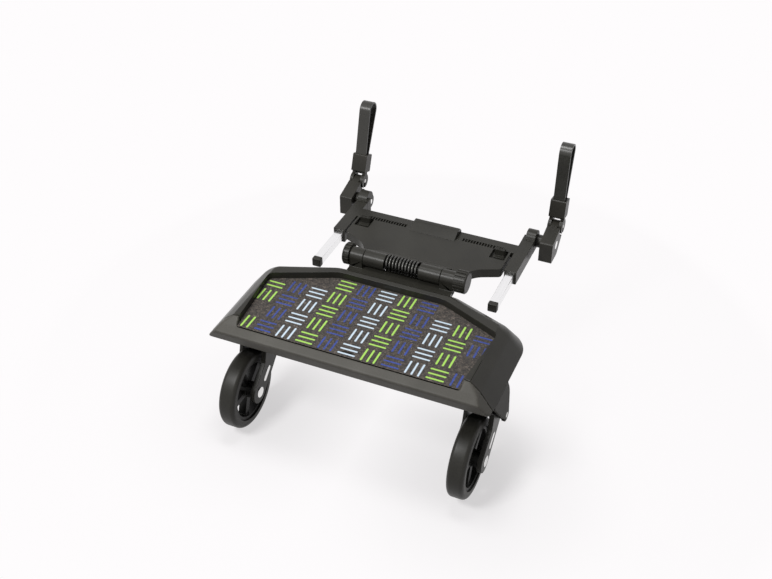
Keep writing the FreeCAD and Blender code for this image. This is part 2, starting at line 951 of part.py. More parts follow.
def make_chassis_hollow():
    # Hollow under the body, with posts for the screws and walls round the recesses.
    low = chassis_low
    top = chassis_top - shell_t
    y = [channel_y - 2 * shell_t, axle_y + shoulder_back + shell_t, axle_y + waist_back + 2 * shell_t]
    half = [chassis_half - shell_t, chassis_half - shell_t, waist_half - shell_t]
    right = list(zip(half, y))
    left = [(-x, v) for x, v in right[::-1]]
    hollow = prism_z(right + left, low, top)
    keep = []
    for x, yy in screw_posts():
        keep.append(rod_up(x, yy, low, top, base_screw_r + boss_wall))
    recess = recess_box().BoundBox
    keep.append(box(recess.XMin - shell_t, recess.XMax + shell_t, recess.YMin - shell_t, channel_y,
                    low, top))
    keep.append(box(waist_half / 2, waist_half / 2 + shell_t, axle_y + neck_back, channel_y, low, top))
    for solid in keep:
        hollow = hollow.cut(solid).cut(mirrored(solid))
    return hollow


def make_base():
    back = channel_end
    points = chassis_points()
    points[0] = (chassis_half, back)
    points[-1] = (-chassis_half, back)
    base = prism_z(points, chassis_low - base_t, chassis_low, chassis_radii())
    for x, y in screw_posts():
        hole = rod_up(x, y, chassis_low - base_t, chassis_low, base_screw_r)
        base = base.cut(hole).cut(mirrored(hole))
    return base


def make_base_screws():
    screws = []
    seat = chassis_low - base_t
    for x, y in screw_posts():
        head = rod_up(x, y, seat - base_screw_head_h, seat, base_screw_head_r)
        shank = rod_up(x, y, seat - base_screw_head_h, seat + base_screw_len, base_screw_r)
        screw = fuse([head, shank])
        screws += [screw, mirrored(screw)]
    return Part.makeCompound(screws)


def make_cover():
    front = axle_y + cover_front
    back = channel_end
    ramp = front + cover_ramp
    lip_top = chassis_low + lip_h
    points = [(front, chassis_top), (ramp, cover_top), (ramp + cover_crown, cover_top), (back, chassis_top),
              (back, lip_top), (back - lip_t, lip_top), (back - lip_t, chassis_top)]
    return prism_x(points, -cover_half, cover_half, [0, cover_edge_r, cover_edge_r, 0, 0, 0, 0])


# Extension arms

def make_arm():
    half = sleeve_half
    low = sleeve_top - sleeve_h
    sleeve = box(sleeve_x - half, sleeve_x + half, sleeve_y, sleeve_end, low, sleeve_top)
    bar_y = channel_y + rack_gap
    bar_end = channel_y + channel_w - slide_gap
    bar_low = sleeve_top - bar_t
    bar = box(bar_start, sleeve_x, bar_y, bar_end, bar_low, sleeve_top)
    rail_y = channel_y + channel_w / 2
    foot = rail_w / 2 + slide_gap
    head = foot + rail_lean
    groove_top = chassis_low + channel_floor + rail_h + slide_gap
    groove = prism_x([(rail_y - foot, bar_low), (rail_y - head, groove_top), (rail_y + head, groove_top),
                      (rail_y + foot, bar_low)], bar_start, sleeve_x - half)
    arm = fuse([sleeve, bar.cut(groove)])
    bore = rod_w / 2 + rod_fit
    arm = arm.cut(box(sleeve_x - bore, sleeve_x + bore, sleeve_y, sleeve_end, rod_z - bore, rod_z + bore))
    notches = []
    for i in range(tooth_n):
        x = lock_x - i * tooth_pitch
        notches.append(box(x - tooth_cut / 2, x + tooth_cut / 2, bar_y, bar_y + tooth_depth,
                           bar_low, sleeve_top))
        notches.append(box(x - tooth_cut / 2, x + tooth_cut / 2, bar_y, bar_y + comb_len,
                           sleeve_top - comb_deep, sleeve_top))
    return arm.cut(fuse(notches))


def make_lock():
    # Slider with a raised finger tab and a tooth that goes into the rack.
    low = lock_floor + lock_bed
    tip = channel_y + rack_gap - lock_clear
    back = tip - lock_travel
    half = lock_w / 2 - slide_gap
    front = channel_y - lock_len - lock_travel
    tab_front = back - tab_len
    tab_top = low + lock_h + tab_up
    plate = box(lock_x - half, lock_x + half, front, back, low, low + lock_plate_h)
    tab = box(lock_x - half, lock_x + half, tab_front, back, low, tab_top)
    pawl = box(lock_x - pawl_w / 2, lock_x + pawl_w / 2, tab_front, tip, low, low + pawl_h)
    ridges = []
    step = tab_len / ridge_n
    for i in range(ridge_n):
        y = tab_front + i * step
        ridges.append(box(lock_x - half, lock_x + half, y, y + step / 2, low, tab_top + ridge_h))
    return fuse([plate, tab, pawl] + ridges)


# Rods

def make_rod():
    half = rod_w / 2
    bore = half - rod_wall
    start = axle_y + rod_start
    end = head_y + rod_in_head
    tube = box(sleeve_x - half, sleeve_x + half, start, end, rod_z - half, rod_z + half)
    return tube.cut(box(sleeve_x - bore, sleeve_x + bore, start, end, rod_z - bore, rod_z + bore))


def make_endcap():
    half = endcap_w / 2
    bore = rod_w / 2 - rod_wall
    front = axle_y + endcap_front
    start = axle_y + rod_start
    rod = rod_w / 2
    block = box(sleeve_x - half, sleeve_x + half, front, front + endcap_len, rod_z - half, rod_z + half)
    block = block.makeFillet(endcap_r, block.Edges)
    block = block.cut(box(sleeve_x - rod, sleeve_x + rod, start, front + endcap_len,
                          rod_z - rod, rod_z + rod))
    plug = box(sleeve_x - bore, sleeve_x + bore, start, start + plug_len, rod_z - bore, rod_z + bore)
    return fuse([block, plug])


def make_head():
    half = sleeve_half
    rod = rod_w / 2
    face = sleeve_x - head_side
    side = sleeve_x + half
    low = rod_z - head_r
    high = rod_z + head_r
    socket_end = head_y + rod_in_head
    body = fuse([box(sleeve_x - half, side, head_y, socket_end + sleeve_wall, low, high),
                 box(face, side, head_y, conn_y, low, high),
                 rod_x(face, side, conn_y, rod_z, head_r),
                 rod_x(face, side, conn_y - thumb_fwd, rod_z + thumb_up, thumb_r),
                 rod_x(sleeve_x, boss_end, conn_y, rod_z, boss_r)])
    body = body.cut(box(sleeve_x - rod, sleeve_x + rod, head_y, socket_end, rod_z - rod, rod_z + rod))
    return body.cut(rod_x(face, boss_end, conn_y, rod_z, bolt_r))


def make_bolt():
    face = conn_x + conn_w / 2
    seat = face - bolt_seat + side_gap
    shank = rod_x(sleeve_x - head_side - bolt_proud, seat, conn_y, rod_z, bolt_r)
    return fuse([shank, rod_x(seat, seat + bolt_head_h, conn_y, rod_z, bolt_head_r)])


# Connectors

def make_connector():
    x0 = conn_x - conn_w / 2
    x1 = conn_x + conn_w / 2
    front = conn_y - conn_front
    back = conn_y + conn_back
    low = rod_z - conn_low
    high = rod_z + conn_high
    slope = math.atan2(strap_z + tip_r - high, strap_y - front)
    crest = (strap_y - tip_r * math.sin(slope), strap_z + tip_r * math.cos(slope))
    points = [(front, low), (front, high), crest, (strap_y + tip_r, strap_z), (back, rod_z),
              (back - conn_low, low)]
    radii = [conn_corner_r / 2, conn_edge_r, 0, 0, conn_corner_r, conn_corner_r]
    body = prism_x(points, x0, x1, radii)
    body = fuse([body, rod_x(x0, x1, strap_y, strap_z, tip_r)])
    room = math.hypot(buckle_from, shank_half) + hook_gap
    body = body.cut(rod_x(x0, conn_x - tip_w / 2, strap_y, strap_z, room))
    body = body.cut(rod_x(conn_x + tip_w / 2, x1, strap_y, strap_z, room))
    body = body.cut(rod_x(x0, x1, strap_y, strap_z, strap_pin_r))
    body = body.cut(rod_x(x0, x1, conn_y, rod_z, bolt_r + run_fit))
    return body.cut(rod_x(x1 - bolt_seat, x1, conn_y, rod_z, bolt_head_r + side_gap))


def make_strap_pin():
    return rod_x(conn_x - prong_out, conn_x + prong_out, strap_y, strap_z, strap_pin_r)


# Buckles and straps, drawn in a leaning plane: u runs up the strap, v runs back from it

def leaned(u, v):
    a = math.radians(lean_deg)
    return (strap_y + u * math.sin(a) + v * math.cos(a), strap_z + u * math.cos(a) - v * math.sin(a))


def leaned_prism(points, x0, x1, radii=None):
    return prism_x([leaned(u, v) for u, v in points], x0, x1, radii)


def bar(u0, u1, v0, v1, half, radius=0):
    # Block in the leaning plane, of the given half width.
    points = [(u0, v0), (u1, v0), (u1, v1), (u0, v1)]
    return leaned_prism(points, conn_x - half, conn_x + half, [radius] * len(points))


def make_buckle():
    # Block with a pocket for the strap, two open hooks that hold the pin, and a web between the hooks.
    top = buckle_from + buckle_len
    pieces = [bar(buckle_from, top, -buckle_fwd, buckle_rear, buckle_w / 2, buckle_r)]
    root = buckle_from + buckle_r
    arm = [(0, -shank_half), (root, -shank_half), (root, shank_half), (0, shank_half)]
    for x0, x1 in ((conn_x - prong_out, conn_x - prong_in), (conn_x + prong_in, conn_x + prong_out)):
        pieces.append(rod_x(x0, x1, strap_y, strap_z, prong_r))
        pieces.append(leaned_prism(arm, x0, x1))
    web = bar(0, root, 0, shank_half, prong_in)
    pieces.append(web.cut(rod_x(conn_x - prong_in, conn_x + prong_in, strap_y, strap_z, web_room)))
    buckle = fuse(pieces)
    hole = strap_leg + strap_t / 2 + strap_gap
    pocket = bar(top - strap_seat, top, -hole, hole, strap_w / 2 + strap_gap)
    mouth = bar(-2 * prong_r, 0, -hook_mouth / 2, hook_mouth / 2, prong_out)
    buckle = buckle.cut(pocket).cut(mouth)
    bore = rod_x(conn_x - prong_out, conn_x + prong_out, strap_y, strap_z, strap_pin_r + run_fit)
    return buckle.cut(bore)


def strap_path(up):
    # Middle line of the loop: its bend, the heights of its ends and its mouth, and the legs' taper.
    bend = loop_r + strap_t / 2
    mouth = buckle_from + buckle_len
    seat = mouth - strap_seat
    across = strap_leg + mouth_r
    rise = up - mouth
    taper = math.asin((bend + mouth_r) / math.hypot(rise, across)) - math.atan2(across, rise)
    return bend, seat, mouth, taper


def strap_side(up, off):
    # Edges of one side of the strap, from the front leg's end over the top to the back leg's end.
    bend, seat, mouth, taper = strap_path(up)
    outer = bend + off
    inner = mouth_r - off
    leg = strap_leg + off

    def on_mouth(t):
        return (mouth + inner * math.sin(t), leg + inner * (1 - math.cos(t)))

    shoulder = (up - outer * math.sin(taper), outer * math.cos(taper))
    place = on_yz(conn_x - strap_w / 2)

    def at(p, side):
        return place(leaned(p[0], side * p[1]))

    edges = []
    for side in (-1, 1):
        edges.append(Part.LineSegment(at((seat, leg), side), at(on_mouth(0), side)).toShape())
        edges.append(Part.Arc(at(on_mouth(0), side), at(on_mouth(taper / 2), side),
                              at(on_mouth(taper), side)).toShape())
        edges.append(Part.LineSegment(at(on_mouth(taper), side), at(shoulder, side)).toShape())
    edges.append(Part.Arc(at(shoulder, -1), at((up + outer, 0), 1), at(shoulder, 1)).toShape())
    ends = [at((seat, leg), -1), at((seat, leg), 1)]
    return edges, ends


def make_strap(up):
    # Loop that stands up to the given height of its bend.
    outside, outer_ends = strap_side(up, strap_t / 2)
    inside, inner_ends = strap_side(up, -strap_t / 2)
    joins = []
    for a, b in zip(outer_ends, inner_ends):
        joins.append(Part.LineSegment(a, b).toShape())
    wire = Part.Wire(Part.__sortEdges__(outside + inside + joins))
    strap = Part.Face(wire).extrude(V(strap_w, 0, 0))
    return fuse([strap] + make_strap_teeth(up))


def make_strap_teeth(up):
    # Ridges on the inner face of the back leg.
    bend, seat, mouth, taper = strap_path(up)
    teeth = []
    x0 = conn_x - strap_w / 2 + strap_tooth_side
    x1 = conn_x + strap_w / 2 - strap_tooth_side
    base = (up - bend * math.sin(taper), bend * math.cos(taper))
    along = (-math.cos(taper), -math.sin(taper))
    inward = (math.sin(taper), -math.cos(taper))
    for i in range(strap_tooth_n):
        s = strap_tooth_from + i * strap_tooth_pitch
        rows = []
        for ds, h in ((0, 0), (0, 1), (strap_tooth_pitch / 2, 0)):
            depth = strap_t / 2 + h * strap_tooth_h
            if h == 0:
                depth -= strap_tooth_h
            rows.append((base[0] + along[0] * (s + ds) + inward[0] * depth,
                         base[1] + along[1] * (s + ds) + inward[1] * depth))
        teeth.append(leaned_prism(rows, x0, x1))
    return teeth


def build():
    os.makedirs("parts", exist_ok=True)
    save(make_tray(), "platform_tray")
    save(make_nosing(), "front_nosing")
    save(make_mat(), "grip_mat")
    save_twice(make_bracket(), "wheel_bracket")
    save(make_bracket_screws(), "bracket_screws")
    save_twice(make_pivot_pin(), "fork_pin")
    save_twice(make_buffer(), "fork_buffer")
    save_twice(make_fork(), "fork")
    save_twice(make_axle(), "wheel_axle")
    save_twice(make_caps(), "axle_caps")
    save_twice(make_inlays(), "leg_inlays")
    save_twice(make_tyre(), "tyre")
    save_twice(make_rim(), "wheel_rim")
    save(make_hinge_pin(), "hinge_pin")
    save(make_core(), "spring_core")
    save(make_spring(), "hinge_spring")
    save(make_knob(knob_len), "hinge_knob_right")
    save(mirrored(make_knob(knob_len_left)), "hinge_knob_left")
    save(make_chassis(), "chassis_body")
    save(make_base(), "chassis_base")
    save(make_base_screws(), "base_screws")
    save(make_cover(), "centre_cover")
    save_pair(make_arm(), "extension_arm")
    save_pair(make_lock(), "lock_slider")
    save_pair(make_rod(), "reach_rod")
    save_pair(make_endcap(), "rod_end_cap")
    save_pair(make_head(), "rod_head")
    save_pair(make_bolt(), "pivot_bolt")
    save_pair(make_connector(), "connector")
    save_pair(make_strap_pin(), "strap_pin")
    save(make_buckle(), "buckle_right")
    save_left_leaning(make_buckle(), "buckle")
    save(make_strap(loop_up), "strap_right")
    save_left_leaning(make_strap(loop_up_left), "strap")


build()
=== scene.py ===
"""Looks of a buggy board: a folding stand on two wheels that clips behind a pram by two strap loops."""
import json
import math

import bmesh
import bpy
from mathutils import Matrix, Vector


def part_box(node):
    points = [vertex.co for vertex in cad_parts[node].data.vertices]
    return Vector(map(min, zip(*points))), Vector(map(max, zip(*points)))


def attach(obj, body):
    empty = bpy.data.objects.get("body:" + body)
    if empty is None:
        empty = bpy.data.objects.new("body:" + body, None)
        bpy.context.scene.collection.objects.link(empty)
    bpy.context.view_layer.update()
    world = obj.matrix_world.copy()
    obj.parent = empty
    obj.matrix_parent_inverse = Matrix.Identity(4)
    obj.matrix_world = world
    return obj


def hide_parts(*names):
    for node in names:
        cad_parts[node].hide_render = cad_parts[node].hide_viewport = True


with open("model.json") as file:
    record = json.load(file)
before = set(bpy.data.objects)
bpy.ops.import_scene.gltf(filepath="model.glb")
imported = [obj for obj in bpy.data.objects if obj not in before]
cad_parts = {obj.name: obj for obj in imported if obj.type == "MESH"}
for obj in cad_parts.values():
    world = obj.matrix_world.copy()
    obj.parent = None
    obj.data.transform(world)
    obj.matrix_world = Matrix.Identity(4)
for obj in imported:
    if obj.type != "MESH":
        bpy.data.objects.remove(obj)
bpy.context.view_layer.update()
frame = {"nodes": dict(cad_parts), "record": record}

nodes = frame["nodes"]
MM = 0.001
SIDES = ("left", "right")

# Rounding of edges
JOIN_WITHIN = 0.002 * MM
FLAT_DEG = 0.2
SHARP_DEG = 30
NARROW_DEG = 25
EDGE_STEPS = 2

# Screw heads lie level within this
HEAD_WITHIN = 0.01 * MM

# Rolled ridges of the nosing
NOSING_GRID = 1.2 * MM
NOSING_ROUNDS = 8

# Photograph's view
CAMERA_PLACE = (0.4776, -1.17685, 1.118)
CAMERA_TILT_DEG = 52.813
CAMERA_TURN_DEG = 23.451
CAMERA_LENS_MM = 50.77
CAMERA_SENSOR_MM = 36.0

# Studio floor: how far the shadow shows round the wheels, and the paper's tone as it gives light and is seen
FLOOR_RADIUS = 5.0
FLOOR_CORNERS = 96
WHEEL_PLACES = ((-0.1705, -0.18985, 0.0), (0.1705, -0.18985, 0.0))
SHADOW_NEAR = 0.03
SHADOW_FAR = 0.24
SHADOW_SHOWN_NEAR = 0.40
SHADOW_SHOWN_FAR = 0.05
SHADOW_END = 0.62
PAPER_GIVEN = "#a09e9f"
PAPER_SEEN = "#f6f4f5"
SEEN_WHITE = "#fefcfd"

# Studio light, in metres and watts
SKY_LEVEL = 0.18
LAMP_AIM = (0.0, 0.0, 0.15)
LAMP_SIDE = 0.45
KEY_PLACE = (-0.57, -1.14, 1.56)
KEY_WATTS = 21.0
TOP_PLACE = (-0.1, -0.05, 1.8)
TOP_WATTS = 10.0

# Printed weave on the grip sheet
WEAVE_CELL = 31 * MM
WEAVE_CELLS = 19
CELL_ROUNDING = (0.25, 0.25, 0.0)
BAR_LENGTH = 25 * MM
BAR_WIDTH = 2.8 * MM
BARS_PER_CELL = 3
BAR_PITCH = 9.0 * MM
PRINT_THICKNESS = 0.24 * MM
BAR_CORNERS = 12
BAR_PROBES = (-1.0, -0.5, 0.0, 0.5, 1.0)
PROBE_UP = 0.01
PROBE_REACH = 0.02
INK_BREAK = 1.6 * MM
# A multiple of two and three that keeps every remainder positive
EVEN_SHIFT = 60.0

# Share of a plain surface's gloss that is left by the moulded grain, where half is a full gloss
GRAIN_SHEEN = 0.22
GRAIN_RELIEF = 0.18
TONE_DRIFT = 45 * MM
# How many times longer than wide the lines of drawn metal are
LINE_STRETCH = 60

# Grit on the grip sheet
GRIT_SIZE = 1.0 * MM
GRIT_PER_SQUARE_METRE = 120000
GRIT_SEED = 7
GRIT_DRAWN = 1.3 * MM
GRIT_CLUMP = 6 * MM
GRAIN_SHAPE = (1.0, 0.8, 0.45)
GRAIN_LEAST = 0.45
GRAIN_TILT = 0.3
SHEET_UPRIGHT = 0.99
SHEET_WITHIN = 0.1 * MM


def linear(code):
    """An sRGB hex colour as linear red, green, blue and alpha."""
    parts = [int(code[i:i + 2], 16) / 255 for i in (1, 3, 5)]
    return tuple(c / 12.92 if c <= 0.04045 else ((c + 0.055) / 1.055) ** 2.4 for c in parts) + (1.0,)


def add(tree, kind, inputs=None, **settings):
    """One node with its settings. Each input is a plain value, or the socket that feeds it."""
    node = tree.nodes.new(kind)
    for name, value in settings.items():
        setattr(node, name, value)
    for key, value in (inputs or {}).items():
        if isinstance(value, bpy.types.NodeSocket):
            tree.links.new(value, node.inputs[key])
        else:
            node.inputs[key].default_value = value
    return node


def start_material(name):
    """An empty material with its shader and output."""
    material = bpy.data.materials.new(name)
    material.use_nodes = True
    tree = material.node_tree
    tree.nodes.clear()
    shader = add(tree, "ShaderNodeBsdfPrincipled")
    add(tree, "ShaderNodeOutputMaterial", {"Surface": shader.outputs["BSDF"]})
    return material, tree, shader


def moulded(name, shade, light, roughness, grain_mm, depth_mm, ior=1.49, sheen=GRAIN_SHEEN):
    """Moulded plastic. The spark-eroded tool leaves a fine grain that breaks the gloss into a soft sheen,
    and the tone drifts slowly over the part. The real grain of about 0.3 mm is drawn coarser, to show."""
    material, tree, shader = start_material(name)
    place = add(tree, "ShaderNodeTexCoord")
    grain = add(tree, "ShaderNodeTexNoise", {
        "Vector": place.outputs["Object"], "Scale": 1 / (grain_mm * MM), "Detail": 3.0, "Roughness": 0.6})
    drift = add(tree, "ShaderNodeTexNoise", {
        "Vector": place.outputs["Object"], "Scale": 1 / TONE_DRIFT, "Detail": 2.0})
    blend = add(tree, "ShaderNodeMath", {
        0: grain.outputs["Fac"], 1: drift.outputs["Fac"]}, operation="MULTIPLY")
    spread = add(tree, "ShaderNodeMapRange", {
        "Value": blend.outputs[0], "From Min": 0.12, "From Max": 0.40, "To Min": 0.0, "To Max": 1.0})
    tone = add(tree, "ShaderNodeMix", {
        0: spread.outputs["Result"], 6: linear(shade), 7: linear(light)}, data_type="RGBA")
    gloss = add(tree, "ShaderNodeMapRange", {
        "Value": grain.outputs["Fac"], "From Min": 0.3, "From Max": 0.7,
        "To Min": roughness - 0.05, "To Max": roughness + 0.06})
    relief = add(tree, "ShaderNodeBump", {
        "Height": grain.outputs["Fac"], "Strength": GRAIN_RELIEF, "Distance": depth_mm * MM})
    tree.links.new(tone.outputs[2], shader.inputs["Base Color"])
    tree.links.new(gloss.outputs["Result"], shader.inputs["Roughness"])
    tree.links.new(relief.outputs["Normal"], shader.inputs["Normal"])
    shader.inputs["IOR"].default_value = ior
    shader.inputs["Specular IOR Level"].default_value = sheen
    return material


def drawn_metal(name, shade, light, roughness, streak_mm, along):
    """Drawn or turned metal. The die or tool leaves faint lines one way, which stretch the highlight.
    A metallised plastic shows the same lines from the tool that moulded it."""
    material, tree, shader = start_material(name)
    place = add(tree, "ShaderNodeTexCoord")
    squeeze = [1 / (streak_mm * MM)] * 3
    squeeze[along] = 1 / (LINE_STRETCH * streak_mm * MM)
    stretched = add(tree, "ShaderNodeMapping", {"Vector": place.outputs["Object"], "Scale": squeeze})
    lines = add(tree, "ShaderNodeTexNoise", {
        "Vector": stretched.outputs["Vector"], "Scale": 1.0, "Detail": 4.0})
    tone = add(tree, "ShaderNodeMix", {
        0: lines.outputs["Fac"], 6: linear(shade), 7: linear(light)}, data_type="RGBA")
    gloss = add(tree, "ShaderNodeMapRange", {
        "Value": lines.outputs["Fac"], "To Min": roughness - 0.06, "To Max": roughness + 0.08})
    relief = add(tree, "ShaderNodeBump", {
        "Height": lines.outputs["Fac"], "Strength": 0.15, "Distance": 0.05 * MM})
    tree.links.new(tone.outputs[2], shader.inputs["Base Color"])
    tree.links.new(gloss.outputs["Result"], shader.inputs["Roughness"])
    tree.links.new(relief.outputs["Normal"], shader.inputs["Normal"])
    shader.inputs["Metallic"].default_value = 1.0
    return material


def grit_sheet():
    """Grit bonded to a sheet. Sharp dark grains catch light one by one, so it sparkles and never shines.
    The real grit of about 0.4 mm is drawn at 1.3 mm, to show."""
    material, tree, shader = start_material("bonded grit sheet, brown grey")
    place = add(tree, "ShaderNodeTexCoord")
    grains = add(tree, "ShaderNodeTexVoronoi", {
        "Vector": place.outputs["Object"], "Scale": 1 / GRIT_DRAWN}, feature="F1")
    clumps = add(tree, "ShaderNodeTexNoise", {
        "Vector": place.outputs["Object"], "Scale": 1 / GRIT_CLUMP, "Detail": 3.0})
    pick = add(tree, "ShaderNodeSeparateColor", {"Color": grains.outputs["Color"]})
    mixed = add(tree, "ShaderNodeMath", {0: pick.outputs[0], 1: clumps.outputs["Fac"]}, operation="MULTIPLY")
    tone = add(tree, "ShaderNodeValToRGB", {"Fac": mixed.outputs[0]})
    ramp = tone.color_ramp
    ramp.elements[0].color = linear("#211f1d")
    ramp.elements[1].position = 0.62
    ramp.elements[1].color = linear("#766e66")
    for position, code in ((0.18, "#34302d"), (0.34, "#4a4540"), (0.46, "#544b44")):
        ramp.elements.new(position).color = linear(code)
    relief = add(tree, "ShaderNodeBump", {
        "Height": grains.outputs["Distance"], "Strength": 0.6, "Distance": 0.35 * MM}, invert=True)
    tree.links.new(tone.outputs["Color"], shader.inputs["Base Color"])
    tree.links.new(relief.outputs["Normal"], shader.inputs["Normal"])
    shader.inputs["Roughness"].default_value = 0.82
    return material


def grit_grain():
    """Loose-looking mineral grains: each has its own tone, from near black to pale brown."""
    material, tree, shader = start_material("mineral grit grains")
    own = add(tree, "ShaderNodeAttribute", attribute_name="grain_tone")
    tone = add(tree, "ShaderNodeValToRGB", {"Fac": own.outputs["Fac"]})
    ramp = tone.color_ramp
    ramp.elements[0].color = linear("#1d1b1a")
    ramp.elements[1].color = linear("#8f877f")
    for position, code in ((0.5, "#3c3835"), (0.8, "#6b6058")):
        ramp.elements.new(position).color = linear(code)
    tree.links.new(tone.outputs["Color"], shader.inputs["Base Color"])
    shader.inputs["Roughness"].default_value = 0.55
    return material


def screen_ink(name, shade, light, cover):
    """Screen-printed ink over grit. The grains break its edge and show through where the coat is thin."""
    material, tree, shader = start_material(name)
    place = add(tree, "ShaderNodeTexCoord")
    grains = add(tree, "ShaderNodeTexNoise", {
        "Vector": place.outputs["Object"], "Scale": 1 / INK_BREAK, "Detail": 3.0, "Roughness": 0.7})
    coat = add(tree, "ShaderNodeMapRange", {
        "Value": grains.outputs["Fac"], "From Min": 0.62 - 0.5 * cover, "From Max": 0.75 - 0.5 * cover})
    tone = add(tree, "ShaderNodeMix", {
        0: coat.outputs["Result"], 6: linear(shade), 7: linear(light)}, data_type="RGBA")
    relief = add(tree, "ShaderNodeBump", {
        "Height": grains.outputs["Fac"], "Strength": 0.4, "Distance": 0.25 * MM})
    tree.links.new(tone.outputs[2], shader.inputs["Base Color"])
    tree.links.new(relief.outputs["Normal"], shader.inputs["Normal"])
    shader.inputs["Roughness"].default_value = 0.6
    return material


# Material slots of the record. Moulded: name, shade, light, roughness, grain and its depth in millimetres.
# Metal: name, shade, light, roughness, width of its lines in millimetres and the way that they run.
FINISHES = {
    "tray_plastic": moulded(
        "polypropylene, grained moulding, dark grey", "#292824", "#33322d", 0.34, 1.2, 0.10),
    "nosing_plastic": moulded(
        "soft elastomer, smooth moulding, mid grey", "#4b4944", "#585651", 0.42, 1.6, 0.08, sheen=0.14),
    "bracket_plastic": moulded(
        "glass-filled nylon, moulded, grey", "#2a2925", "#34332e", 0.55, 1.2, 0.10, sheen=0.08),
    "fork_plastic": moulded(
        "glass-filled nylon, moulded, dark grey", "#282723", "#33322d", 0.36, 1.2, 0.10),
    "tyre_rubber": moulded(
        "polyurethane tyre, smooth tread", "#252420", "#302f2b", 0.40, 1.8, 0.06, 1.52),
    "rim_plastic": moulded(
        "polypropylene, moulded, black", "#0d0d0c", "#171715", 0.40, 1.2, 0.08),
    "pale_plastic": drawn_metal(
        "acrylic, vacuum metallised and lacquered", "#e9e9e7", "#f7f7f6", 0.16, 0.8, 0),
    "buffer_rubber": moulded(
        "natural rubber, moulded, black", "#0f0f0f", "#191918", 0.70, 1.4, 0.10, 1.52),
    "chassis_plastic": moulded(
        "nylon, fine-grained moulding, dark grey", "#2a2925", "#34332e", 0.34, 1.1, 0.08),
    "knob_plastic": moulded(
        "nylon, ribbed moulding, black", "#262521", "#32312c", 0.36, 1.1, 0.06),
    "cap_plastic": moulded(
        "polyethylene, moulded, near black", "#262521", "#32302c", 0.44, 1.2, 0.08),
    "connector_plastic": moulded(
        "nylon, grained moulding, grey", "#2c2b27", "#373530", 0.34, 1.2, 0.10),
    "strap_rubber": moulded(
        "thermoplastic polyurethane, smooth moulding", "#272622", "#32312c", 0.30, 1.4, 0.08, 1.5, sheen=0.5),
    "rod_aluminium": drawn_metal(
        "aluminium, drawn and polished tube", "#e4e5e6", "#f6f6f6", 0.20, 0.9, 1),
    "steel": drawn_metal(
        "steel, turned and zinc plated", "#b9b8b5", "#d6d5d2", 0.30, 0.7, 0),
    "spring_steel": drawn_metal(
        "spring wire, blackened and oiled", "#3a3a38", "#5b5b58", 0.28, 0.8, 0),
    "grip_mat": grit_sheet(),
}
GRAIN_FINISH = grit_grain()
INKS = (
    screen_ink("screen ink, pale blue white", "#93a8ba", "#cfe0ee", 0.90),
    screen_ink("screen ink, lime green", "#6f9a36", "#aadb62", 0.85),
    screen_ink("screen ink, royal blue", "#232a44", "#33499c", 0.50),
)

BODIES = frame["record"]["behaviour"]["bodies"]
BODY_OF = {node: body for body, members in BODIES.items() for node in members}


def merged_copy(node):
    """A node's triangles as one joined mesh with its flat faces whole again."""
    joined = bmesh.new()
    joined.from_mesh(nodes[node].data)
    bmesh.ops.remove_doubles(joined, verts=joined.verts, dist=JOIN_WITHIN)
    bmesh.ops.dissolve_limit(
        joined, angle_limit=math.radians(FLAT_DEG), use_dissolve_boundaries=False,
        verts=joined.verts, edges=joined.edges, delimit=set())
    corners = [v.co.copy() for v in joined.verts]
    joined.verts.index_update()
    faces = [[v.index for v in f.verts] for f in joined.faces]
    joined.free()
    mesh = bpy.data.meshes.new(node + "_rounded")
    mesh.from_pydata(corners, [], faces)
    mesh.shade_smooth()
    return mesh


def mark_edges(mesh):
    """Marks sharp edges for rounding. One that another edge meets too narrowly for a radius stays crisp."""
    form = bmesh.new()
    form.from_mesh(mesh)
    weight = form.edges.layers.float.new("bevel_weight_edge")
    sharp = {e for e in form.edges if e.is_manifold and e.calc_face_angle() > math.radians(SHARP_DEG)}
    narrow = set()
    for corner in form.verts:
        ways = [(e, e.other_vert(corner).co - corner.co) for e in corner.link_edges]
        for one, along in ways:
            if one in sharp and any(
                    e is not one and along.angle(other) < math.radians(NARROW_DEG) for e, other in ways):
                narrow.add(one)
    for edge in sharp - narrow:
        edge[weight] = 1.0
    for edge in narrow:
        edge.smooth = False
    form.to_mesh(mesh)
    form.free()


def linked(name, mesh):
    """An object in the scene with its place in its mesh."""
    piece = bpy.data.objects.new(name, mesh)
    bpy.context.collection.objects.link(piece)
    return piece


def stands_for(piece, node):
    """Makes a piece ride with a node's body and hides the node that it stands for."""
    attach(piece, BODY_OF[node])
    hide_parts(node)


def plain_mesh(holder, name):
    """What an object's modifiers make, as a plain mesh. The object goes."""
    made = holder.evaluated_get(bpy.context.evaluated_depsgraph_get())
    mesh = bpy.data.meshes.new_from_object(made)
    mesh.name = name
    bpy.data.objects.remove(holder)
    return mesh


def rounded(node, slot, edge_mm):
    """Stands for a node: the same moulding with the small edge radius that its tool has."""
    mesh = merged_copy(node)
    mark_edges(mesh)
    shown(mesh, node, slot, edge_mm)


def softened(node, slot, grid_side, rounds):
    """Stands for a soft moulding: the same form on a fine even grid, eased so that its ridges roll over."""
    holder = linked(node + "_source", merged_copy(node))
    grid = holder.modifiers.new("even_grid", "REMESH")
    grid.mode = "VOXEL"
    grid.voxel_size = grid_side
    ease = holder.modifiers.new("ease", "SMOOTH")
    ease.factor = 0.5
    ease.iterations = rounds
    mesh = plain_mesh(holder, node + "_eased")
    mesh.materials.clear()
    mesh.materials.append(FINISHES[slot])
    mesh.shade_smooth()
    stands_for(linked(node + "_eased", mesh), node)


